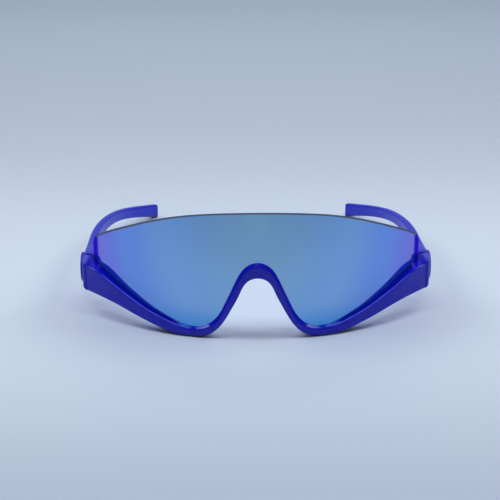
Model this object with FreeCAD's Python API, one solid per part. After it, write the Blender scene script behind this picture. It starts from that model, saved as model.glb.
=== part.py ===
import FreeCAD, Part
import math
import os

# Shield sunglasses: a half-rim front, one curved lens, two folding temples.
# Units are millimetres. +Z is up, +X is to the right seen from the front,
# and the front of the glasses faces -Y. The origin lies on the table under
# the middle of the glasses, with the temples open.

V = FreeCAD.Vector
UP = V(0, 0, 1)

# ---------------------------------------------------------------- sizes
LENS_RADIUS = 95.0          # outer face of the lens, an upright cylinder
LENS_THICKNESS = 2.0
LENS_HALF_WIDTH = 67.2
LENS_CORNER_TOP = (64.6, 35.0)      # the top edge turns down at each end
LENS_CORNER_MIDDLE = (66.6, 33.1)
LENS_CORNER_LOW_Z = 31.0
LENS_END_Z = 22.9           # lowest visible point of the lens at its end
GROOVE_DEPTH = 2.0          # how far the lens sits down in the frame

FACE_RADIUS = 107.0         # front face of the frame, flatter than the lens
FACE_FRONT = -1.3           # front of the frame at the nose
REAR_RADIUS = 91.3          # rear face of the frame
END_HALF_WIDTH = 72.0
END_CORNER_RADIUS = 1.8
JOINT_Y = 31.6              # flat end of the front, where the temple meets it
END_TOP_Z = 24.5
LIP_DROP = 1.1              # rear wall of the groove below the front wall
FRONT_FILLET = 0.9
REAR_FILLET = 0.8
RIDGE_FILLET = 0.5
LIP_FILLET = 0.5
CORNER_SIDE_SHARE = 0.72    # shape of the rounded front corner in plan
CORNER_TURN_SHARE = 0.38
CORNER_TURN_DEPTH = 0.3
JOINT_INSET = 0.1           # the side leans in this much at the joint
LUG_X = 66.3                # inner side of the flat top of the end piece
LEDGE_BEHIND = 0.25         # ledge surface runs on by this share of its width
LEDGE_BEYOND = 0.8

# Cutting shapes reach past the part by these limits.
TALL = 60.0
WIDE = 150.0
SIDE_LIMIT = 80.0
FRONT_LIMIT = -20.0
REAR_LIMIT = 60.0

# How edges are picked for rounding.
ON_SURFACE = 0.02
LOW_MARGIN = 1.5            # a low edge lies this far under the ridge
CORNER_LOW_Z = 9.5
CORNER_HIGH_Z = 13.5
CORNER_REAR_Y = 29.0
CORNER_SPAN_X = 2.5
CORNER_SHORTEST = 2.0

TEMPLE_GAP = 0.3
HINGE_X = 64.1
HINGE_Y = 33.5
HINGE_Z = 14.9              # middle of the barrel
KNUCKLE_RADIUS = 1.5
KNUCKLE_HEIGHT = 1.3
KNUCKLE_GAP = 0.3
PIN_RADIUS = 0.6
PIN_CLEARANCE = 0.05
LEAF_THICKNESS = 1.0
LEAF_HEIGHT = 6.2
LEAF_LENGTH = 6.4
LEAF_START = 0.1            # front leaf starts this far from the joint
LEAF_SINK = 0.65            # and lies this deep in the frame
FRONT_ARM_END = 1.5         # arms from the front leaf to its knuckles
FRONT_ARM_SINK = 0.2
FRONT_ARM_OUT = 2.0
TEMPLE_LEAF_TRIM = 0.4      # temple leaf is lower than the front leaf
TEMPLE_LEAF_THICKNESS = 1.2
TEMPLE_ARM_WIDTH = 2.2
TEMPLE_ARM_LENGTH = 2.4
DRIVE_SLOT_WIDTH = 0.35
DRIVE_SLOT_DEPTH = 0.25

BADGE_Y = 38.4
BADGE_Z = 16.1
BADGE_RADIUS = 6.2
BADGE_SEAT_X = 70.9
BADGE_FILLET = 0.7
BADGE_RIM = 1.4
BADGE_DISH = 0.5
BADGE_FACE_X = 73.6

SCREW_RADIUS = 0.6
SCREW_HEAD_RADIUS = 1.1
SCREW_HEAD_HEIGHT = 0.6
SCREW_LENGTH = 3.0
SCREW_HEIGHTS = (13.5, 16.3)
SCREW_POINT_LENGTH = 0.4
SCREW_POINT_RADIUS = 0.2
SCREW_SETBACK = 4.2         # from the start of the leaf to its screws
CUT_SIZE = 3.0              # longer than any screw head
PAD_TILT = -28.5            # follows the flank of the nose arch
TEMPLE_LEAF_X = 65.9
TEMPLE_LEAF_START_Y = 35.2
PAD_LENGTH = 12.0
PAD_WIDTH = 3.2
PAD_DEPTH = 5.6
PAD_FILLET = 1.4
PAD_X = 11.6
PAD_Y = 4.1
PAD_Z = 13.2

MIDDLE_Y = 69.75            # half-way between the front and the temple tips

# Lower edge of the visible lens, from the nose to the end:
# x, z, and how far the ledge of the frame drops towards its front face.
LEDGE = (
    (0.0, 33.1, 1.3), (3.2, 32.3, 1.3), (5.7, 30.3, 1.2), (7.7, 27.3, 1.1),
    (10.0, 22.2, 1.0), (12.8, 15.9, 1.0), (15.5, 10.4, 0.9), (18.2, 7.1, 0.9),
    (21.6, 5.1, 0.9), (25.4, 4.3, 0.9), (28.9, 4.5, 0.9), (33.9, 5.7, 0.8),
    (39.4, 7.8, 0.7), (44.9, 10.3, 0.8), (50.3, 13.4, 0.9), (55.8, 16.6, 1.0),
    (61.0, 20.0, 1.15), (65.6, 22.4, 1.3),
)
# Shoulder of the end piece beyond the lens: rear point and front point.
SHOULDER = (
    ((67.4, 28.1, 23.1), (69.0, 25.0, 22.2)),
    ((69.4, 31.0, 24.0), (70.9, 26.0, 23.1)),
    ((73.0, 32.0, 24.5), (73.4, 27.4, 24.0)),
)
# Bottom edge of the frame from the nose arch to the low point.
NOSE_BOTTOM = (
    (0.0, 26.6), (3.4, 25.6), (5.5, 23.3), (7.3, 19.4), (9.8, 14.3),
    (12.4, 9.4), (15.1, 5.3), (18.2, 2.3), (21.6, 0.6), (24.5, 0.0),
)
WING_BOTTOM = (
    (30.5, 0.0), (38.5, 1.8), (43.5, 3.6), (48.6, 5.4), (54.3, 7.5),
    (60.0, 9.2), (66.0, 10.3), (70.2, 10.75),
)
WING_END_SLOPE = 0.08
WING_CORNER_MIDDLE = (71.5, 11.45)
WING_CORNER_Z = 12.9
LENS_TOP = (
    (0.0, 53.5), (10.0, 53.2), (21.0, 52.2), (30.5, 50.5), (43.6, 46.3),
    (54.5, 41.2), (61.5, 37.2),
)
# Temple stations: outer x, y, top z, height, thickness, heading inwards.
TEMPLE = (
    (71.8, 31.9, 24.5, 14.2, 5.8, 0.0),
    (71.85, 37.0, 24.0, 13.4, 5.4, 0.0),
    (72.1, 44.0, 22.6, 11.1, 5.0, 0.0),
    (72.3, 51.0, 21.2, 9.1, 4.6, 0.0),
    (72.4, 59.0, 19.9, 7.7, 4.2, 0.0),
    (72.3, 70.0, 18.8, 6.5, 3.8, 2.0),
    (71.7, 81.0, 17.8, 5.5, 3.5, 5.0),
    (70.2, 92.0, 16.7, 5.0, 3.3, 9.0),
    (67.9, 102.8, 15.3, 4.8, 3.2, 14.0),
    (64.6, 113.3, 13.5, 4.9, 3.1, 21.0),
    (59.9, 123.2, 11.3, 5.2, 3.0, 28.0),
    (54.0, 132.8, 8.7, 5.7, 3.0, 33.0),
    (48.1, 141.0, 6.4, 6.62, 3.0, 35.0),
)
TEMPLE_EDGE_RADIUS = 0.9
TIP_FILLET = 0.6
TIP_REACH = 3.2             # only edges this close to the tip are rounded
TIP_EDGE_LONGEST = 7.0


# -------------------------------------------------------------- helpers
def mirrored(shape):
    return shape.mirror(V(0, 0, 0), V(1, 0, 0))


def both_halves(points):
    """Points from the middle outwards, completed to the other side."""
    left = [(-p[0],) + tuple(p[1:]) for p in reversed(points) if p[0] > 0]
    return left + [tuple(p) for p in points]


def curve_y(radius, centre_y, x):
    return centre_y - math.sqrt(radius * radius - x * x)


def lens_y(x):
    return curve_y(LENS_RADIUS, LENS_RADIUS, x)


def face_y(x):
    return curve_y(FACE_RADIUS, FACE_RADIUS + FACE_FRONT, x)


def spline(points):
    curve = Part.BSplineCurve()
    curve.interpolate(points)
    return curve.toShape()


def offset_points(points, distances):
    """Move each (x, z) point square to the line, downwards when positive."""
    moved = []
    last = len(points) - 1
    for index, (x, z) in enumerate(points):
        before = points[max(index - 1, 0)]
        after = points[min(index + 1, last)]
        dx = after[0] - before[0]
        dz = after[1] - before[1]
        length = math.hypot(dx, dz)
        moved.append((x + distances[index] * dz / length,
                      z - distances[index] * dx / length))
    return moved


def front_view(points):
    return [V(x, 0, z) for x, z in points]


def prism_along_y(edges):
    """Solid from a closed outline drawn in the XZ plane."""
    face = Part.Face(Part.Wire(Part.__sortEdges__(edges)))
    face.translate(V(0, FRONT_LIMIT, 0))
    return face.extrude(V(0, REAR_LIMIT - FRONT_LIMIT, 0))


def band(outer_radius, inner_radius, centre_y):
    """Upright curved wall between two cylinders, front half only."""
    outer = Part.makeCylinder(outer_radius, TALL, V(0, centre_y, 0))
    inner = Part.makeCylinder(inner_radius, TALL, V(0, centre_y, 0))
    half = Part.makeBox(2 * WIDE, centre_y + WIDE, TALL, V(-WIDE, -WIDE, 0))
    return outer.cut(inner).common(half)


# ----------------------------------------------------------------- lens
def lens_low_edge():
    visible = [(p[0], p[1]) for p in LEDGE]
    visible.append((LENS_HALF_WIDTH, LENS_END_Z))
    full = both_halves(visible)
    depth = [GROOVE_DEPTH] * len(full)
    sunk = offset_points(full, depth)
    sunk[0] = (-LENS_HALF_WIDTH, sunk[0][1])
    sunk[-1] = (LENS_HALF_WIDTH, sunk[-1][1])
    return sunk


def lens_outline():
    low = lens_low_edge()
    top = both_halves(LENS_TOP)
    corner_x, corner_z = LENS_CORNER_TOP
    middle_x, middle_z = LENS_CORNER_MIDDLE
    points = [V(-corner_x, 0, corner_z)] + front_view(top)
    points.append(V(corner_x, 0, corner_z))
    edges = [spline(points), spline(front_view(low))]
    for side in (-1, 1):
        a = V(side * corner_x, 0, corner_z)
        b = V(side * middle_x, 0, middle_z)
        c = V(side * LENS_HALF_WIDTH, 0, LENS_CORNER_LOW_Z)
        edges.append(Part.Arc(a, b, c).toShape())
        edges.append(Part.makeLine(c, V(side * LENS_HALF_WIDTH, 0, low[-1][1])))
    return edges


def lens_slot():
    """Everything the lens and its way in from above take from the frame."""
    low = front_view(lens_low_edge())
    left = V(-LENS_HALF_WIDTH, 0, TALL)
    right = V(LENS_HALF_WIDTH, 0, TALL)
    edges = [spline(low), Part.makeLine(low[-1], right),
             Part.makeLine(right, left), Part.makeLine(left, low[0])]
    wall = band(LENS_RADIUS, LENS_RADIUS - LENS_THICKNESS, LENS_RADIUS)
    return prism_along_y(edges).common(wall)


def make_lens():
    wall = band(LENS_RADIUS, LENS_RADIUS - LENS_THICKNESS, LENS_RADIUS)
    return prism_along_y(lens_outline()).common(wall)


# ---------------------------------------------------------------- front
def frame_prism():
    """Frame seen from the front: arch, lower rims and wings, open on top."""
    nose = front_view(both_halves(NOSE_BOTTOM))
    edges = [spline(nose)]
    bend_x, bend_z = WING_CORNER_MIDDLE
    for side in (-1, 1):
        wing = [V(side * x, 0, z) for x, z in WING_BOTTOM]
        corner = V(side * END_HALF_WIDTH, 0, WING_CORNER_Z)
        edges.append(Part.makeLine(V(side * NOSE_BOTTOM[-1][0], 0, 0), wing[0]))
        low = Part.BSplineCurve()
        low.interpolate(wing, InitialTangent=V(side, 0, 0),
                        FinalTangent=V(side, 0, WING_END_SLOPE))
        edges.append(low.toShape())
        bend = V(side * bend_x, 0, bend_z)
        edges.append(Part.Arc(wing[-1], bend, corner).toShape())
        edges.append(Part.makeLine(corner, V(side * END_HALF_WIDTH, 0, TALL)))
    edges.append(Part.makeLine(V(-END_HALF_WIDTH, 0, TALL),
                               V(END_HALF_WIDTH, 0, TALL)))
    return prism_along_y(edges)


def frame_plan():
    """Frame seen from above: the curved front with its two flat ends."""
    x = END_HALF_WIDTH
    face_end = x - END_CORNER_RADIUS
    corner_y = face_y(face_end)
    side_y = corner_y + CORNER_SIDE_SHARE * END_CORNER_RADIUS
    turn_x = x - CORNER_TURN_SHARE * END_CORNER_RADIUS
    rear_x = math.sqrt(REAR_RADIUS ** 2 - (LENS_RADIUS - JOINT_Y) ** 2)
    edges = [
        Part.Arc(V(-face_end, corner_y, 0), V(0, FACE_FRONT, 0),
                 V(face_end, corner_y, 0)).toShape(),
        Part.Arc(V(-rear_x, JOINT_Y, 0), V(0, LENS_RADIUS - REAR_RADIUS, 0),
                 V(rear_x, JOINT_Y, 0)).toShape(),
    ]
    for side in (-1, 1):
        start = V(side * face_end, corner_y, 0)
        turn = V(side * turn_x, corner_y + CORNER_TURN_DEPTH, 0)
        side_start = V(side * x, side_y, 0)
        joint = V(side * (x - JOINT_INSET), JOINT_Y, 0)
        edges.append(Part.Arc(start, turn, side_start).toShape())
        edges.append(Part.makeLine(side_start, joint))
        edges.append(Part.makeLine(joint, V(side * rear_x, JOINT_Y, 0)))
    face = Part.Face(Part.Wire(Part.__sortEdges__(edges)))
    face.translate(V(0, 0, -1))
    return face.extrude(V(0, 0, TALL))


def ledge_lines():
    """Rear and front line of the sloping ledge, as 3D points."""
    visible = both_halves([(p[0], p[1]) for p in LEDGE])
    drops = [p[2] for p in both_halves(LEDGE)]
    ridge = offset_points(visible, drops)
    rear = [V(x, lens_y(x), z) for x, z in visible]
    front = [V(x, face_y(x), z) for x, z in ridge]
    for back_point, front_point in SHOULDER:
        rear.append(V(*back_point))
        front.append(V(*front_point))
        rear.insert(0, V(-back_point[0], back_point[1], back_point[2]))
        front.insert(0, V(-front_point[0], front_point[1], front_point[2]))
    return rear, front


def above_ledge():
    """Space over the sloping ledge in front of the lens."""
    rear, front = ledge_lines()
    behind = [a - (b - a) * LEDGE_BEHIND for a, b in zip(rear, front)]
    beyond = [b + (b - a) * LEDGE_BEYOND for a, b in zip(rear, front)]
    slope = Part.makeRuledSurface(spline(behind), spline(beyond))
    return slope.extrude(V(0, 0, TALL))


def above_rear_lip():
    """Space over the rear wall of the groove and over the end lugs."""
    visible = [(p[0], p[1]) for p in LEDGE]
    lip = offset_points(both_halves(visible), [LIP_DROP] * (2 * len(visible) - 1))
    points = front_view(lip)
    edges = [spline(points)]
    for side, last in ((-1, points[0]), (1, points[-1])):
        lug = V(side * LUG_X, 0, END_TOP_Z)
        end = V(side * SIDE_LIMIT, 0, END_TOP_Z)
        edges.append(Part.makeLine(last, lug))
        edges.append(Part.makeLine(lug, end))
        edges.append(Part.makeLine(end, V(side * SIDE_LIMIT, 0, TALL)))
    edges.append(Part.makeLine(V(-SIDE_LIMIT, 0, TALL), V(SIDE_LIMIT, 0, TALL)))
    space = prism_along_y(edges)
    mid_slot = LENS_RADIUS - LENS_THICKNESS / 2
    behind = Part.makeCylinder(mid_slot, 2 * TALL, V(0, LENS_RADIUS, -TALL / 2))
    return space.common(behind)


def above_ends():
    """Space over the flat tops of the end pieces."""
    width = SIDE_LIMIT - LENS_HALF_WIDTH
    box = Part.makeBox(width, REAR_LIMIT, TALL, V(LENS_HALF_WIDTH, 0, END_TOP_Z))
    return box.fuse(mirrored(box))


def on_cylinder(edge, radius, centre_y):
    return all(abs(math.hypot(p.x, p.y - centre_y) - radius) < ON_SURFACE
               for p in edge.discretize(9))


def ridge_height(x):
    front = sorted((p.x, p.z) for p in ledge_lines()[1])
    for a, b in zip(front, front[1:]):
        if a[0] <= x <= b[0]:
            return a[1] + (b[1] - a[1]) * (x - a[0]) / (b[0] - a[0])
    return END_TOP_Z


def is_upright(edge):
    ends = edge.discretize(2)
    return math.hypot(ends[0].x - ends[1].x, ends[0].y - ends[1].y) < ON_SURFACE / 2


def is_low(edge):
    middle = edge.discretize(3)[1]
    return middle.z < ridge_height(middle.x) - LOW_MARGIN


def on_face(edge):
    return on_cylinder(edge, FACE_RADIUS, FACE_RADIUS + FACE_FRONT)


def on_rear(edge):
    return on_cylinder(edge, REAR_RADIUS, LENS_RADIUS)


def is_bottom_front(edge):
    box = edge.BoundBox
    near_corner = box.ZMin > CORNER_LOW_Z and box.ZMax < CORNER_HIGH_Z
    near_corner = near_corner and box.YMax < CORNER_REAR_Y
    fits = box.XLength < CORNER_SPAN_X and edge.Length > CORNER_SHORTEST
    low_face = on_face(edge) and is_low(edge)
    return not is_upright(edge) and (low_face or (near_corner and fits))


def is_bottom_rear(edge):
    return on_rear(edge) and is_low(edge) and not is_upright(edge)


def is_ridge(edge):
    return on_face(edge) and not is_low(edge) and not is_upright(edge)


def is_lip(edge):
    return on_rear(edge) and not is_low(edge) and not is_upright(edge)


def rounded(shape, picked, radius):
    edges = [edge for edge in shape.Edges if picked(edge)]
    return shape.makeFillet(radius, edges).Solids[0]


def make_frame():
    frame = frame_prism().common(frame_plan())
    for space in (lens_slot(), above_rear_lip(), above_ledge(), above_ends()):
        frame = frame.cut(space)
    frame = frame.removeSplitter().Solids[0]
    for picked, radius in ((is_bottom_front, FRONT_FILLET),
                           (is_bottom_rear, REAR_FILLET),
                           (is_ridge, RIDGE_FILLET),
                           (is_lip, LIP_FILLET)):
        frame = rounded(frame, picked, radius)
    return frame


# -------------------------------------------------------------- temples
def temple_section(x, y, top, height, thickness, heading):
    """Rounded upright rectangle square to the run of the temple."""
    turn = math.radians(heading)
    inward = V(-math.cos(turn), -math.sin(turn), 0)
    base = V(x, y, top - height)
    r = TEMPLE_EDGE_RADIUS

    def at(across, up):
        return base + inward * across + UP * up

    q = r * (1 - math.sqrt(0.5))
    t = thickness
    h = height
    edges = [
        Part.makeLine(at(r, 0), at(t - r, 0)),
        Part.Arc(at(t - r, 0), at(t - q, q), at(t, r)).toShape(),
        Part.makeLine(at(t, r), at(t, h - r)),
        Part.Arc(at(t, h - r), at(t - q, h - q), at(t - r, h)).toShape(),
        Part.makeLine(at(t - r, h), at(r, h)),
        Part.Arc(at(r, h), at(q, h - q), at(0, h - r)).toShape(),
        Part.makeLine(at(0, h - r), at(0, r)),
        Part.Arc(at(0, r), at(q, q), at(r, 0)).toShape(),
    ]
    return Part.Wire(edges)


def make_temple():
    sections = [temple_section(*station) for station in TEMPLE]
    body = Part.makeLoft(sections, True, False)
    tip_y = TEMPLE[-1][1] - TIP_REACH
    end_edges = [edge for edge in body.Edges
                 if edge.BoundBox.YMin > tip_y and edge.Length < TIP_EDGE_LONGEST]
    return body.makeFillet(TIP_FILLET, end_edges).Solids[0]


def make_badge():
    """Plain round badge with a rounded rim and a shallow dish."""
    across = V(1, 0, 0)
    centre = V(BADGE_SEAT_X, BADGE_Y, BADGE_Z)
    height = BADGE_FACE_X - BADGE_SEAT_X
    disc = Part.makeCylinder(BADGE_RADIUS, height, centre, across)
    outer = [edge for edge in disc.Edges
             if edge.BoundBox.XMin > BADGE_FACE_X - 0.01]
    disc = disc.makeFillet(BADGE_FILLET, outer)
    dish_radius = BADGE_RADIUS - BADGE_RIM
    dish_start = centre + across * (height - BADGE_DISH)
    dish = Part.makeCone(dish_radius - BADGE_DISH, dish_radius, BADGE_DISH,
                         dish_start, across)
    return disc.cut(dish)


# --------------------------------------------------------------- hinges
def knuckle_bottom(index):
    whole = 5 * KNUCKLE_HEIGHT + 4 * KNUCKLE_GAP
    pitch = KNUCKLE_HEIGHT + KNUCKLE_GAP
    return HINGE_Z - whole / 2 + index * pitch


def hinge_corner():
    """Inner rear corner of the end piece with its two directions."""
    rear_x = math.sqrt(REAR_RADIUS ** 2 - (LENS_RADIUS - JOINT_Y) ** 2)
    radial = V(rear_x, JOINT_Y - LENS_RADIUS, 0)
    radial.normalize()
    outward = V(-radial.x, -radial.y, 0)
    along = V(radial.y, -radial.x, 0)
    return V(rear_x, JOINT_Y, 0), along, outward


def upright_box(origin, along, out, span, depth, low, high):
    """Box with two sides given along a pair of level directions."""
    corners = []
    for a, b in ((span[0], depth[0]), (span[1], depth[0]),
                 (span[1], depth[1]), (span[0], depth[1])):
        corners.append(V(origin.x, origin.y, low) + along * a + out * b)
    face = Part.Face(Part.makePolygon(corners + [corners[0]]))
    return face.extrude(V(0, 0, high - low))


def knuckles(indexes, bore_radius):
    solids = []
    for index in indexes:
        foot = V(HINGE_X, HINGE_Y, knuckle_bottom(index))
        barrel = Part.makeCylinder(KNUCKLE_RADIUS, KNUCKLE_HEIGHT, foot)
        solids.append(barrel)
    bore = Part.makeCylinder(bore_radius, 2 * LEAF_HEIGHT,
                             V(HINGE_X, HINGE_Y, HINGE_Z - LEAF_HEIGHT))
    return solids, bore


def join(solids):
    whole = solids[0]
    for solid in solids[1:]:
        whole = whole.fuse(solid)
    return whole.removeSplitter()


def make_front_leaf():
    corner, along, out = hinge_corner()
    low = HINGE_Z - LEAF_HEIGHT / 2
    high = HINGE_Z + LEAF_HEIGHT / 2
    solids, bore = knuckles((0, 2, 4), PIN_RADIUS)
    for index in (0, 2, 4):
        z = knuckle_bottom(index)
        solids.append(upright_box(corner, along, out,
                                  (LEAF_START, FRONT_ARM_END),
                                  (-FRONT_ARM_SINK, FRONT_ARM_OUT),
                                  z, z + KNUCKLE_HEIGHT))
    solids.append(upright_box(corner, along, out,
                              (LEAF_START, LEAF_START + LEAF_LENGTH),
                              (-LEAF_SINK, LEAF_THICKNESS - LEAF_SINK),
                              low, high))
    return join(solids).cut(bore)


def make_temple_leaf():
    low = HINGE_Z - LEAF_HEIGHT / 2 + TEMPLE_LEAF_TRIM
    high = HINGE_Z + LEAF_HEIGHT / 2 - TEMPLE_LEAF_TRIM
    solids, bore = knuckles((1, 3), PIN_RADIUS + PIN_CLEARANCE)
    for index in (1, 3):
        z = knuckle_bottom(index)
        solids.append(Part.makeBox(TEMPLE_ARM_WIDTH, TEMPLE_ARM_LENGTH,
                                   KNUCKLE_HEIGHT, V(HINGE_X, HINGE_Y, z)))
    solids.append(Part.makeBox(TEMPLE_LEAF_THICKNESS, LEAF_LENGTH, high - low,
                               V(TEMPLE_LEAF_X, TEMPLE_LEAF_START_Y, low)))
    return join(solids).cut(bore)


def make_hinge_screw():
    low = knuckle_bottom(0)
    high = knuckle_bottom(4) + KNUCKLE_HEIGHT
    shaft = Part.makeCylinder(PIN_RADIUS, high - low, V(HINGE_X, HINGE_Y, low))
    head = Part.makeCylinder(SCREW_HEAD_RADIUS, SCREW_HEAD_HEIGHT,
                             V(HINGE_X, HINGE_Y, high))
    slot = Part.makeBox(CUT_SIZE, DRIVE_SLOT_WIDTH, CUT_SIZE)
    slot.translate(V(HINGE_X - CUT_SIZE / 2, HINGE_Y - DRIVE_SLOT_WIDTH / 2,
                     high + SCREW_HEAD_HEIGHT - DRIVE_SLOT_DEPTH))
    return shaft.fuse(head).removeSplitter().cut(slot)


def leaf_screw(head_centre, direction, slotted):
    """Small countersunk screw; its flat head starts at the given point."""
    cone = Part.makeCone(SCREW_HEAD_RADIUS, SCREW_RADIUS, SCREW_HEAD_HEIGHT,
                         head_centre, direction)
    shaft_length = SCREW_LENGTH - SCREW_POINT_LENGTH
    shaft = Part.makeCylinder(SCREW_RADIUS, shaft_length, head_centre, direction)
    point = Part.makeCone(SCREW_RADIUS, SCREW_POINT_RADIUS, SCREW_POINT_LENGTH,
                          head_centre + direction * shaft_length, direction)
    screw = cone.fuse(shaft).fuse(point).removeSplitter()
    if not slotted:
        return screw
    slot = Part.makeBox(CUT_SIZE, CUT_SIZE, DRIVE_SLOT_WIDTH)
    slot.translate(V(-CUT_SIZE / 2, -CUT_SIZE / 2, -DRIVE_SLOT_WIDTH / 2))
    slot.translate(head_centre + direction * (DRIVE_SLOT_DEPTH - CUT_SIZE / 2))
    return screw.cut(slot)


def front_leaf_screws(slotted):
    corner, along, out = hinge_corner()
    screws = []
    for z in SCREW_HEIGHTS:
        head = V(corner.x, corner.y, z) + along * SCREW_SETBACK
        head = head + out * (LEAF_THICKNESS - LEAF_SINK)
        screws.append(leaf_screw(head, out * -1, slotted))
    return screws


def temple_leaf_screws(slotted):
    y = TEMPLE_LEAF_START_Y + SCREW_SETBACK
    return [leaf_screw(V(TEMPLE_LEAF_X, y, z), V(1, 0, 0), slotted)
            for z in SCREW_HEIGHTS]


# ------------------------------------------------------------ nose pads
def make_nose_pad():
    """Soft pad let into the rear of one flank of the nose arch."""
    pad = Part.makeBox(PAD_WIDTH, PAD_DEPTH, PAD_LENGTH,
                       V(-PAD_WIDTH / 2, 0, -PAD_LENGTH / 2))
    soft = [edge for edge in pad.Edges if edge.BoundBox.YMax > PAD_DEPTH / 2]
    pad = pad.makeFillet(PAD_FILLET, soft)
    pad.rotate(V(0, 0, 0), V(0, 1, 0), PAD_TILT)
    return pad


def on_both_sides(name, shape):
    write(name + "_right", shape)
    write(name + "_left", mirrored(shape))


def write(name, shape):
    placed = shape.copy()
    placed.translate(V(0, -MIDDLE_Y, 0))
    placed.exportStep("parts/" + name + ".step")


def main():
    lens = make_lens().Solids[0]
    frame = make_frame()
    temple = make_temple()
    badge = make_badge()
    front_leaf = make_front_leaf()
    temple_leaf = make_temple_leaf()
    front_screws = front_leaf_screws(False)
    temple_screws = temple_leaf_screws(False)
    pad = make_nose_pad()
    pad.translate(V(PAD_X, PAD_Y, PAD_Z))

    for screw in front_screws:
        front_leaf = front_leaf.cut(screw)
    for screw in temple_screws:
        temple_leaf = temple_leaf.cut(screw)
    for piece in [front_leaf, pad] + front_screws:
        frame = frame.cut(piece).cut(mirrored(piece))
    for piece in [temple_leaf, badge] + temple_screws:
        temple = temple.cut(piece)

    write("front_frame", frame.Solids[0])
    write("shield_lens", lens)
    on_both_sides("temple", temple.Solids[0])
    on_both_sides("badge", badge)
    on_both_sides("front_hinge_leaf", front_leaf.Solids[0])
    on_both_sides("temple_hinge_leaf", temple_leaf.Solids[0])
    on_both_sides("hinge_screw", make_hinge_screw())
    on_both_sides("front_leaf_screws", Part.makeCompound(front_leaf_screws(True)))
    on_both_sides("temple_leaf_screws", Part.makeCompound(temple_leaf_screws(True)))
    on_both_sides("nose_pad", pad)


main()
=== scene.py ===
import math

import bpy
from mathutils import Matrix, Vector


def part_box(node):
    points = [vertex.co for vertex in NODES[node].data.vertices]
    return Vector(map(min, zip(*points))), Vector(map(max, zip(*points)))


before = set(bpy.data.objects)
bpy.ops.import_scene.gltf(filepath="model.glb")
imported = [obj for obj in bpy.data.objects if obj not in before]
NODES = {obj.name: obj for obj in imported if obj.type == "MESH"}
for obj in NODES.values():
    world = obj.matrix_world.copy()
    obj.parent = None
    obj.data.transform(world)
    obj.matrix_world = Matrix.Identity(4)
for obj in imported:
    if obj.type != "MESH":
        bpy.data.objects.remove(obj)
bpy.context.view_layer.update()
SIDES = ("left", "right")

# Camera, in metres and degrees
CAMERA_TARGET = Vector((-0.0024, -0.0298, 0.0225))
CAMERA_DISTANCE = 0.62
CAMERA_ELEVATION = 22.0
CAMERA_AZIMUTH = -0.94
CAMERA_LENS_MM = 105.6
SENSOR_WIDTH_MM = 36.0
CLIP_NEAR = 0.01
CLIP_FAR = 50.0

# Places on the lens, in metres
LENS_HIGH_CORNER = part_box("shield_lens")[1]
LENS_HALF_WIDTH = LENS_HIGH_CORNER.x
LENS_TOP_Z = LENS_HIGH_CORNER.z
LENS_FALL = 0.12                            # drop that counts like the half width
LENS_LOW_Z = 0.004                          # just under the lowest visible point
LENS_LOW_FADE_Z = 0.0125                    # the deeper blue at the bottom ends here
LENS_BAND_START = LENS_HALF_WIDTH - 0.0025  # deep violet band at each end
LENS_BAND_FULL = LENS_HALF_WIDTH - 0.0017

# Mirror coating
FILM_SHARE = 0.92           # coating against what is seen through the lens
HAZE_SHARE = 0.28           # diffuse part of the coating
FILM_NOISE_SCALE = 40.0
FILM_NOISE_DETAIL = 2.0
FILM_ROUGHNESS = (0.05, 0.09)
UPWARD_START = 0.6          # upward part of the normal on the bare top edge
UPWARD_FULL = 0.8
CUT_EDGE_ROUGHNESS = 0.4

# Moulded plastic
PLASTIC_IOR = 1.45
TONE_NOISE_SCALE = 60.0
TONE_NOISE_DETAIL = 2.0
SKIN_NOISE_SCALE = 500.0
SKIN_NOISE_DETAIL = 1.0
SKIN_BUMP_STRENGTH = 0.02
SKIN_BUMP_DEPTH = 0.0002
PAINTED_SHADE_REACH = 0.003  # painted shade: the base colour darkens this close to another face
PAINTED_SHADE_SAMPLES = 8
PAINTED_SHADE_DARKEST = 0.2
PAINTED_SHADE_CLOSED = 0.45        # openness at which the painted shade is deepest
PAINTED_SHADE_OPEN = 0.9           # openness at which there is no painted shade

# Metal and silicone
GRAIN_STRETCH = (600.0, 600.0, 9000.0)
GRAIN_DETAIL = 4.0
GRAIN_DARKEST = 0.75
GRAIN_SMOOTHER = 0.7        # roughness varies between these two times its value
GRAIN_ROUGHER = 1.3
GRAIN_BUMP_STRENGTH = 0.15
GRAIN_BUMP_DEPTH = 0.00005
SILICONE_TRANSMISSION = 0.7
SILICONE_IOR = 1.41
SILICONE_NOISE_SCALE = 300.0
SILICONE_NOISE_DETAIL = 3.0
SILICONE_ROUGHNESS = (0.32, 0.5)

# Floor and surroundings
PAINTED_LIGHT_FRONT_Y = -0.2        # painted light and shade on the floor change between these two
PAINTED_LIGHT_BACK_Y = 0.5
FLOOR_REACH = 2.5
FLOOR_NOISE_SCALE = 60.0
FLOOR_NOISE_DETAIL = 4.0
FLOOR_DARKEST = 0.985
FLOOR_ROUGHNESS = 0.55
WORLD_STRENGTH = 0.12

# Sockets of the Mix node for colours, which share their names with others
MIX_FACTOR = 0
MIX_FIRST = 6
MIX_SECOND = 7
MIX_RESULT = 2


def linear(red, green, blue):
    """Screen colour from 0 to 255 as the linear colour that shaders take."""
    return tuple(((v / 255) ** 2.2) for v in (red, green, blue)) + (1.0,)


# ------------------------------------------------------------ node helpers
def new_material(name):
    material = bpy.data.materials.new(name)
    material.use_nodes = True
    tree = material.node_tree
    tree.nodes.clear()
    return material, tree


def add(tree, kind, **values):
    node = tree.nodes.new(kind)
    for key, value in values.items():
        setattr(node, key, value)
    return node


def link(tree, source, output, target, socket):
    tree.links.new(source.outputs[output], target.inputs[socket])


def surface(tree, shader, output="BSDF"):
    """Make this shader the surface of the material."""
    end = add(tree, "ShaderNodeOutputMaterial")
    link(tree, shader, output, end, "Surface")


def coordinates(tree, output="Object"):
    """X, Y and Z of the place in object space, or of the surface normal."""
    where = add(tree, "ShaderNodeTexCoord")
    split = add(tree, "ShaderNodeSeparateXYZ")
    link(tree, where, output, split, "Vector")
    return split


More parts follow.
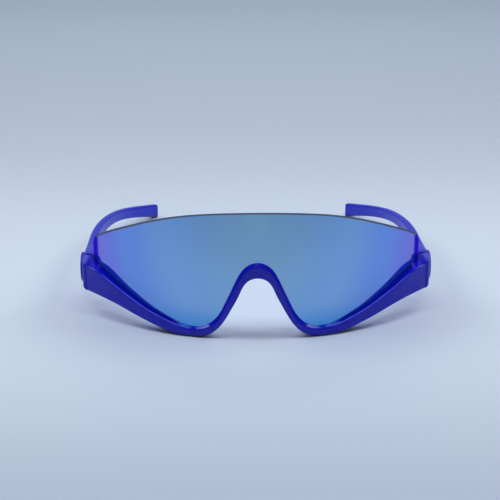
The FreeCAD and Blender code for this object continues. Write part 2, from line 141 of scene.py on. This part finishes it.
def object_noise(tree, scale, detail):
    where = add(tree, "ShaderNodeTexCoord")
    noise = add(tree, "ShaderNodeTexNoise")
    noise.inputs["Scale"].default_value = scale
    noise.inputs["Detail"].default_value = detail
    link(tree, where, "Object", noise, "Vector")
    return noise


def ranged(tree, source, output, low, high, from_low=0.0, from_high=1.0):
    scale = add(tree, "ShaderNodeMapRange")
    scale.inputs["From Min"].default_value = from_low
    scale.inputs["From Max"].default_value = from_high
    scale.inputs["To Min"].default_value = low
    scale.inputs["To Max"].default_value = high
    link(tree, source, output, scale, "Value")
    return scale


def ramp(tree, stops):
    node = add(tree, "ShaderNodeValToRGB")
    node.color_ramp.interpolation = "EASE"
    elements = node.color_ramp.elements
    elements[0].position, elements[0].color = stops[0]
    elements[1].position, elements[1].color = stops[-1]
    for position, color in stops[1:-1]:
        elements.new(position).color = color
    return node


def scaled_colour(tree, colour, factor):
    """Colour of one node times the result of another."""
    scaled = add(tree, "ShaderNodeVectorMath", operation="SCALE")
    link(tree, colour, "Color", scaled, "Vector")
    link(tree, factor, "Result", scaled, "Scale")
    return scaled


def mix_towards(tree, share, colour):
    """Mix that turns into a colour with the share; its first colour is open."""
    mix = add(tree, "ShaderNodeMix", data_type="RGBA")
    link(tree, share, "Result", mix, MIX_FACTOR)
    mix.inputs[MIX_SECOND].default_value = colour
    return mix


def bump_surface(tree, height, shader, strength, depth):
    bump = add(tree, "ShaderNodeBump")
    bump.inputs["Strength"].default_value = strength
    bump.inputs["Distance"].default_value = depth
    link(tree, height, "Fac", bump, "Height")
    link(tree, bump, "Normal", shader, "Normal")


# --------------------------------------------------------------- materials
def plastic(name, dark, light, roughness):
    """Glossy moulded plastic: faint cloudy tone, fine waviness, painted shade
    darkening its corners and grooves.
    """
    material, tree = new_material(name)
    shader = add(tree, "ShaderNodeBsdfPrincipled")
    shader.inputs["IOR"].default_value = PLASTIC_IOR
    shader.inputs["Roughness"].default_value = roughness
    tone = object_noise(tree, TONE_NOISE_SCALE, TONE_NOISE_DETAIL)
    colour = ramp(tree, ((0.0, dark), (1.0, light)))
    link(tree, tone, "Fac", colour, "Fac")
    # Painted shade: ambient occlusion darkens the base colour in grooves and corners.
    painted_shade_occlusion = add(tree, "ShaderNodeAmbientOcclusion", samples=PAINTED_SHADE_SAMPLES)
    painted_shade_occlusion.inputs["Distance"].default_value = PAINTED_SHADE_REACH
    painted_shade_factor = ranged(tree, painted_shade_occlusion, "AO", PAINTED_SHADE_DARKEST, 1.0, PAINTED_SHADE_CLOSED, PAINTED_SHADE_OPEN)
    toned_and_painted_shade = scaled_colour(tree, colour, painted_shade_factor)
    link(tree, toned_and_painted_shade, "Vector", shader, "Base Color")
    skin = object_noise(tree, SKIN_NOISE_SCALE, SKIN_NOISE_DETAIL)
    bump_surface(tree, skin, shader, SKIN_BUMP_STRENGTH, SKIN_BUMP_DEPTH)
    surface(tree, shader)
    return material


def brushed_metal(name, base, roughness):
    """Metal with a fine level grain in its tone, roughness and relief."""
    material, tree = new_material(name)
    shader = add(tree, "ShaderNodeBsdfPrincipled")
    shader.inputs["Metallic"].default_value = 1.0
    where = add(tree, "ShaderNodeTexCoord")
    stretch = add(tree, "ShaderNodeMapping")
    stretch.inputs["Scale"].default_value = GRAIN_STRETCH
    grain = add(tree, "ShaderNodeTexNoise")
    grain.inputs["Scale"].default_value = 1.0
    grain.inputs["Detail"].default_value = GRAIN_DETAIL
    link(tree, where, "Object", stretch, "Vector")
    link(tree, stretch, "Vector", grain, "Vector")
    dim = tuple(v * GRAIN_DARKEST for v in base[:3]) + (1.0,)
    tone = ramp(tree, ((0.0, dim), (1.0, base)))
    link(tree, grain, "Fac", tone, "Fac")
    link(tree, tone, "Color", shader, "Base Color")
    smoothest = roughness * GRAIN_SMOOTHER
    roughest = roughness * GRAIN_ROUGHER
    rough = ranged(tree, grain, "Fac", smoothest, roughest)
    link(tree, rough, "Result", shader, "Roughness")
    bump_surface(tree, grain, shader, GRAIN_BUMP_STRENGTH, GRAIN_BUMP_DEPTH)
    surface(tree, shader)
    return material


def clear_silicone(name):
    """Clear soft silicone, slightly milky and unevenly smooth."""
    material, tree = new_material(name)
    shader = add(tree, "ShaderNodeBsdfPrincipled")
    shader.inputs["Transmission Weight"].default_value = SILICONE_TRANSMISSION
    shader.inputs["IOR"].default_value = SILICONE_IOR
    haze = object_noise(tree, SILICONE_NOISE_SCALE, SILICONE_NOISE_DETAIL)
    tone = ramp(tree, ((0.0, linear(214, 222, 236)), (1.0, linear(232, 238, 246))))
    link(tree, haze, "Fac", tone, "Fac")
    link(tree, tone, "Color", shader, "Base Color")
    rough = ranged(tree, haze, "Fac", *SILICONE_ROUGHNESS)
    link(tree, rough, "Result", shader, "Roughness")
    surface(tree, shader)
    return material


def lens_spread(tree):
    """Distance from the top middle of the lens: 0 there, about 1 at the ends."""
    place = coordinates(tree)
    across = add(tree, "ShaderNodeMath", operation="DIVIDE")
    across.inputs[1].default_value = LENS_HALF_WIDTH
    link(tree, place, "X", across, 0)
    drop = add(tree, "ShaderNodeMath", operation="SUBTRACT")
    drop.inputs[0].default_value = LENS_TOP_Z
    link(tree, place, "Z", drop, 1)
    down = add(tree, "ShaderNodeMath", operation="DIVIDE")
    down.inputs[1].default_value = LENS_FALL
    link(tree, drop, "Value", down, 0)
    both = add(tree, "ShaderNodeCombineXYZ")
    link(tree, across, "Value", both, "X")
    link(tree, down, "Value", both, "Y")
    length = add(tree, "ShaderNodeVectorMath", operation="LENGTH")
    link(tree, both, "Vector", length, 0)
    return length


def lens_end_band(tree):
    """1 on the last millimetres of the lens at each end, 0 elsewhere."""
    reach = add(tree, "ShaderNodeMath", operation="ABSOLUTE")
    link(tree, coordinates(tree), "X", reach, 0)
    return ranged(tree, reach, "Value", 0.0, 1.0, LENS_BAND_START, LENS_BAND_FULL)


def lens_top_face(tree):
    """1 where the lens surface faces upwards, which is its bare top edge."""
    normal = coordinates(tree, "Normal")
    return ranged(tree, normal, "Z", 0.0, 1.0, UPWARD_START, UPWARD_FULL)


def lens_low_part(tree):
    """Rises to 1 towards the lowest points of the lens beside the nose."""
    place = coordinates(tree)
    return ranged(tree, place, "Z", 1.0, 0.0, LENS_LOW_Z, LENS_LOW_FADE_Z)


def film_gloss(tree, spread, band):
    """Mirror film: grey-blue middle, violet ends, deeper blue at the bottom."""
    film_colour = ramp(tree, (
        (0.00, linear(184, 234, 240)),
        (0.15, linear(176, 222, 238)),
        (0.53, linear(164, 212, 252)),
        (0.80, linear(142, 181, 255)),
        (0.92, linear(151, 157, 252)),
        (1.00, linear(160, 148, 240)),
    ))
    link(tree, spread, "Value", film_colour, "Fac")
    deeper = mix_towards(tree, lens_low_part(tree), linear(100, 190, 255))
    link(tree, film_colour, "Color", deeper, MIX_FIRST)
    coat = mix_towards(tree, band, linear(58, 16, 214))
    link(tree, deeper, MIX_RESULT, coat, MIX_FIRST)
    film = object_noise(tree, FILM_NOISE_SCALE, FILM_NOISE_DETAIL)
    rough = ranged(tree, film, "Fac", *FILM_ROUGHNESS)
    gloss = add(tree, "ShaderNodeBsdfAnisotropic")
    link(tree, coat, MIX_RESULT, gloss, "Color")
    link(tree, rough, "Result", gloss, "Roughness")
    return gloss


def film_haze(tree, band):
    """Soft blue cast of the film, violet at the ends."""
    haze_colour = mix_towards(tree, band, linear(60, 60, 240))
    haze_colour.inputs[MIX_FIRST].default_value = linear(60, 120, 255)
    haze = add(tree, "ShaderNodeBsdfDiffuse")
    link(tree, haze_colour, MIX_RESULT, haze, "Color")
    return haze


def tinted_body(tree, spread):
    """What is seen through the tinted lens."""
    tint = ramp(tree, (
        (0.0, linear(148, 186, 202)),
        (0.6, linear(154, 196, 224)),
        (1.0, linear(170, 207, 237)),
    ))
    link(tree, spread, "Value", tint, "Fac")
    through = add(tree, "ShaderNodeBsdfTransparent")
    link(tree, tint, "Color", through, "Color")
    return through


def mirror_lens(name):
    """Blue mirror coating on a tinted lens with a dark bare top edge."""
    material, tree = new_material(name)
    spread = lens_spread(tree)
    band = lens_end_band(tree)
    coating = add(tree, "ShaderNodeMixShader")
    coating.inputs["Fac"].default_value = HAZE_SHARE
    link(tree, film_gloss(tree, spread, band), "BSDF", coating, 1)
    link(tree, film_haze(tree, band), "BSDF", coating, 2)
    coated = add(tree, "ShaderNodeMixShader")
    coated.inputs["Fac"].default_value = FILM_SHARE
    link(tree, tinted_body(tree, spread), "BSDF", coated, 1)
    link(tree, coating, "Shader", coated, 2)
    cut = add(tree, "ShaderNodeBsdfPrincipled")
    cut.inputs["Base Color"].default_value = linear(42, 54, 88)
    cut.inputs["Roughness"].default_value = CUT_EDGE_ROUGHNESS
    whole = add(tree, "ShaderNodeMixShader")
    link(tree, lens_top_face(tree), "Result", whole, "Fac")
    link(tree, coated, "Shader", whole, 1)
    link(tree, cut, "BSDF", whole, 2)
    surface(tree, whole, "Shader")
    return material


def floor_material(name):
    """Pale matt floor with painted light and shade: its tone changes a little from
    front to back, lightest around the object and far behind it.
    """
    material, tree = new_material(name)
    shader = add(tree, "ShaderNodeBsdfPrincipled")
    shader.inputs["Roughness"].default_value = FLOOR_ROUGHNESS
    place = coordinates(tree)
    along = ranged(tree, place, "Y", 0.0, 1.0, PAINTED_LIGHT_FRONT_Y, PAINTED_LIGHT_BACK_Y)
    # Painted light and shade: darker in front of the object and just behind it, as if
    # the lamps' light fell off.
    painted_light_fall = ramp(tree, (
        (0.00, linear(188, 202, 223)),
        (0.17, linear(206, 219, 237)),
        (0.30, linear(210, 223, 240)),
        (0.55, linear(198, 210, 229)),
        (1.00, linear(216, 232, 255)),
    ))
    link(tree, along, "Result", painted_light_fall, "Fac")
    fibre = object_noise(tree, FLOOR_NOISE_SCALE, FLOOR_NOISE_DETAIL)
    speck = ranged(tree, fibre, "Fac", FLOOR_DARKEST, 1.0)
    colour = scaled_colour(tree, painted_light_fall, speck)
    link(tree, colour, "Vector", shader, "Base Color")
    surface(tree, shader)
    return material


# ---------------------------------------------------------------- dressing
def dress(node, material):
    mesh = NODES[node].data
    mesh.materials.clear()
    mesh.materials.append(material)


def dress_all():
    """Give every piece of the frame its material."""
    blue = plastic("frame_blue", linear(3, 15, 190), linear(6, 20, 200), 0.16)
    # Temple and badge are the same plastic as the front: their rougher finish is real,
    # their lighter base colours are painted sheen.
    arm_painted_sheen = plastic("temple_blue_painted_sheen", linear(14, 34, 190), linear(18, 40, 200), 0.3)
    disc_painted_sheen = plastic("badge_blue_painted_sheen", linear(18, 38, 196), linear(22, 44, 206), 0.3)
    steel = brushed_metal("hinge_steel", linear(170, 172, 178), 0.32)
    bright = brushed_metal("screw_steel", linear(196, 198, 203), 0.22)
    soft = clear_silicone("pad_silicone")
    dress("front_frame", blue)
    dress("shield_lens", mirror_lens("mirror_lens"))
    for side in SIDES:
        dress("temple_" + side, arm_painted_sheen)
        dress("badge_" + side, disc_painted_sheen)
        dress("front_hinge_leaf_" + side, steel)
        dress("temple_hinge_leaf_" + side, steel)
        dress("hinge_screw_" + side, bright)
        dress("front_leaf_screws_" + side, bright)
        dress("temple_leaf_screws_" + side, bright)
        dress("nose_pad_" + side, soft)


# ------------------------------------------------------------------- stage
def make_floor():
    """Plain flat floor, wide enough to fill every view of the object."""
    mesh = bpy.data.meshes.new("floor")
    corners = [(x * FLOOR_REACH, y * FLOOR_REACH, 0.0)
               for x, y in ((-1, -1), (1, -1), (1, 1), (-1, 1))]
    mesh.from_pydata(corners, [], [(0, 1, 2, 3)])
    floor = bpy.data.objects.new("floor", mesh)
    bpy.context.scene.collection.objects.link(floor)
    mesh.materials.append(floor_material("pale_floor"))


def area_light(name, place, target, size, power, colour):
    """Rectangular light aimed at a target, in metres and watts, not seen itself."""
    data = bpy.data.lights.new(name, "AREA")
    data.shape = "RECTANGLE"
    data.size, data.size_y = size
    data.energy = power
    data.color = colour
    light = bpy.data.objects.new(name, data)
    bpy.context.scene.collection.objects.link(light)
    light.visible_camera = False
    light.location = place
    light.rotation_mode = "QUATERNION"
    aim = Vector(target) - Vector(place)
    light.rotation_quaternion = aim.to_track_quat("-Z", "Y")


def make_lights():
    """Two side softboxes, one in front, three behind, and a faint sky."""
    cool = (0.94, 0.97, 1.0)
    warm = (1.0, 0.985, 0.965)
    sky = (0.8, 1.0, 1.0)
    for side in (-1, 1):
        area_light("softbox", (side * 0.34, 0.0, 0.42), (side * 0.12, 0, 0),
                   (0.26, 0.26), 0.9, warm)
    area_light("front_softbox", (0, -0.14, 0.5), (0, 0.03, 0), (0.3, 0.16), 0.95, cool)
    area_light("back_softbox", (0, 0.24, 0.33), (0, 0, 0), (0.6, 0.16), 0.09, sky)
    area_light("rear_card", (0, 0.95, 0.4), (0, 0, 0.1), (2.4, 0.8), 1.5, cool)
    area_light("rear_fill", (0, 0.5, 0.6), (0, 0.5, 0), (2.2, 0.15), 1.6, cool)
    world = bpy.data.worlds.new("studio")
    world.use_nodes = True
    background = world.node_tree.nodes["Background"]
    background.inputs["Color"].default_value = linear(214, 226, 246)
    background.inputs["Strength"].default_value = WORLD_STRENGTH
    bpy.context.scene.world = world


def make_camera():
    """Camera on a sphere about its target, aimed at it."""
    turn = math.radians(CAMERA_AZIMUTH)
    rise = math.radians(CAMERA_ELEVATION)
    back = Vector((math.sin(turn) * math.cos(rise),
                   -math.cos(turn) * math.cos(rise), math.sin(rise)))
    data = bpy.data.cameras.new("camera")
    data.lens = CAMERA_LENS_MM
    data.sensor_width = SENSOR_WIDTH_MM
    data.clip_start = CLIP_NEAR
    data.clip_end = CLIP_FAR
    camera = bpy.data.objects.new("camera", data)
    bpy.context.scene.collection.objects.link(camera)
    camera.location = CAMERA_TARGET + back * CAMERA_DISTANCE
    camera.rotation_mode = "QUATERNION"
    camera.rotation_quaternion = (-back).to_track_quat("-Z", "Y")
    bpy.context.scene.camera = camera


bpy.context.scene.view_settings.view_transform = "Standard"
dress_all()
make_floor()
make_lights()
make_camera()
